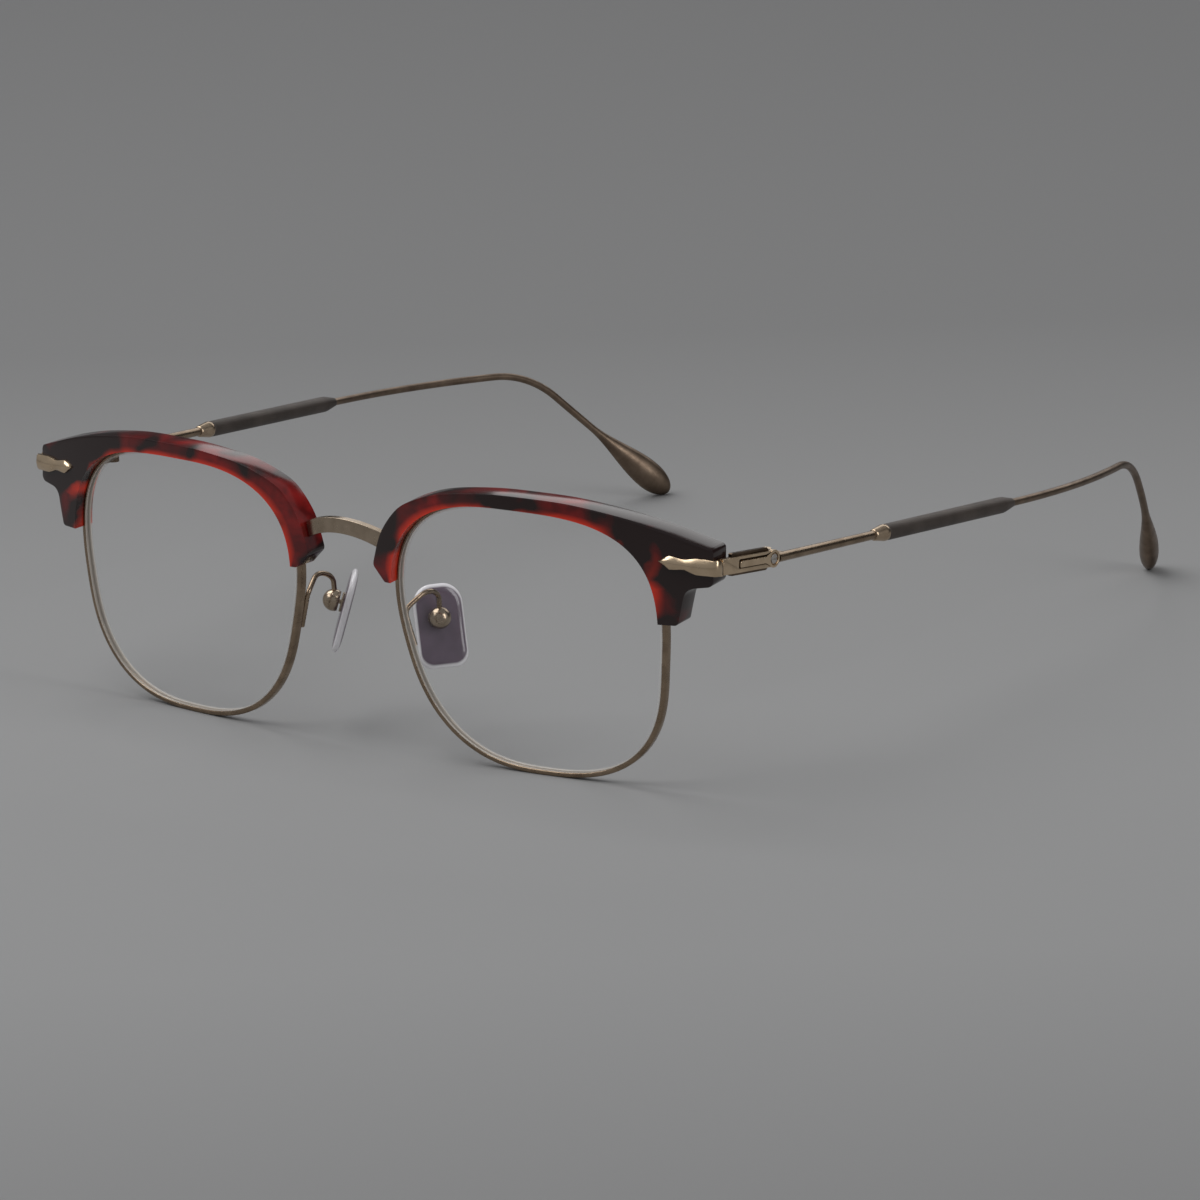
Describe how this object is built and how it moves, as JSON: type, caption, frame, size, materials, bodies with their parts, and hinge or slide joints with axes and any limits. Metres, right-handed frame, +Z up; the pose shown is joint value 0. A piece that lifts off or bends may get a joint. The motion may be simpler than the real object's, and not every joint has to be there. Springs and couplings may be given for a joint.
{
  "type": "browline glasses",
  "caption": "Browline glasses with red tortoise acetate brows, bronze eye wires and bridge, clear lenses, spear endpieces, folding wire temples and rocking nose pads.",
  "frame": {"origin": "middle of the bounding box in X and Y, on the surface that the eye wires and temple tips rest on", "axes": "+X to the wearer's left, -Y the way the lenses face, +Z up"},
  "size_m": [0.1506, 0.1651, 0.0485],
  "materials": {
    "bronze": "polished antique bronze plating",
    "dark_bronze": "dark bronze plating",
    "tip_bronze": "satin bronze plating",
    "gold": "polished champagne gold plating",
    "screw": "turned steel",
    "acetate": "polished red tortoise acetate",
    "sleeve": "satin dark brown sleeve",
    "pad": "clear soft pad with a mauve tint",
    "lens": "clear spectacle lens"
  },
  "bodies": {
    "front": {"bridge": "bronze", "closing_screws": "screw", "endpiece_screws": "screw", "inlay_screws": "screw", "hinge_screws": "gold", "rim_left": "bronze", "lens_left": "lens", "brow_left": "acetate", "closing_block_left": "bronze", "endpiece_left": "gold", "inlay_left": "gold", "hinge_front_left": "dark_bronze", "pad_arm_left": "bronze", "pad_button_left": "bronze", "rim_right": "bronze", "lens_right": "lens", "brow_right": "acetate", "closing_block_right": "bronze", "endpiece_right": "gold", "inlay_right": "gold", "hinge_front_right": "dark_bronze", "pad_arm_right": "bronze", "pad_button_right": "bronze"},
    "temple_left": {"hinge_temple_left": "dark_bronze", "rod_left": "bronze", "ferrule_left": "gold", "sleeve_left": "sleeve", "temple_tip_left": "tip_bronze"},
    "pad_left": {"pad_insert_left": "bronze", "nose_pad_left": "pad"},
    "temple_right": {"hinge_temple_right": "dark_bronze", "rod_right": "bronze", "ferrule_right": "gold", "sleeve_right": "sleeve", "temple_tip_right": "tip_bronze"},
    "pad_right": {"pad_insert_right": "bronze", "nose_pad_right": "pad"}
  },
  "joints": [
    {"name": "temple_fold_left", "type": "hinge", "parent": "front", "child": "temple_left", "pos_m": [0.06995, -0.05791, 0.0371], "axis": [0, 0, 1], "range_deg": [0, 88]},
    {"name": "temple_fold_right", "type": "hinge", "parent": "front", "child": "temple_right", "pos_m": [-0.06995, -0.05791, 0.0371], "axis": [0, 0, -1], "range_deg": [0, 83]},
    {"name": "pad_rock_left", "type": "hinge", "parent": "front", "child": "pad_left", "pos_m": [0.01142, -0.07056, 0.0218], "axis": [-0.2365, 0.1719, 0.9563], "range_deg": [-8, 8]},
    {"name": "pad_rock_right", "type": "hinge", "parent": "front", "child": "pad_right", "pos_m": [-0.01142, -0.07056, 0.0218], "axis": [0.2365, 0.1719, 0.9563], "range_deg": [-8, 8]}
  ]
}
